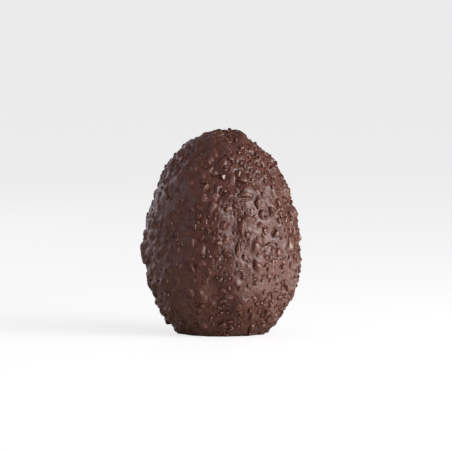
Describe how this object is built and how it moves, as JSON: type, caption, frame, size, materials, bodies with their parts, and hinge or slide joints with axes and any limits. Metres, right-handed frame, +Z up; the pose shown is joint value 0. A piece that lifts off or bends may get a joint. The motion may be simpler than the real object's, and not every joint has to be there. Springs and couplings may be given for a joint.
{
  "type": "chocolate egg",
  "caption": "Upright dark chocolate egg with a knobbly coat of chopped nuts under satin chocolate, widest a little below its middle, standing on a small flat foot.",
  "frame": {"origin": "centre of the flat foot, on the surface that the egg stands on", "axes": "+Z up along the egg's axis, -Y out of the front, +X to the right seen from the front"},
  "size_m": [0.1145, 0.113, 0.1459],
  "materials": {
    "chocolate": "satin dark chocolate over chopped nuts, smooth between the knobs"
  },
  "bodies": {
    "root": {"chocolate_egg": "chocolate"}
  },
  "joints": []
}
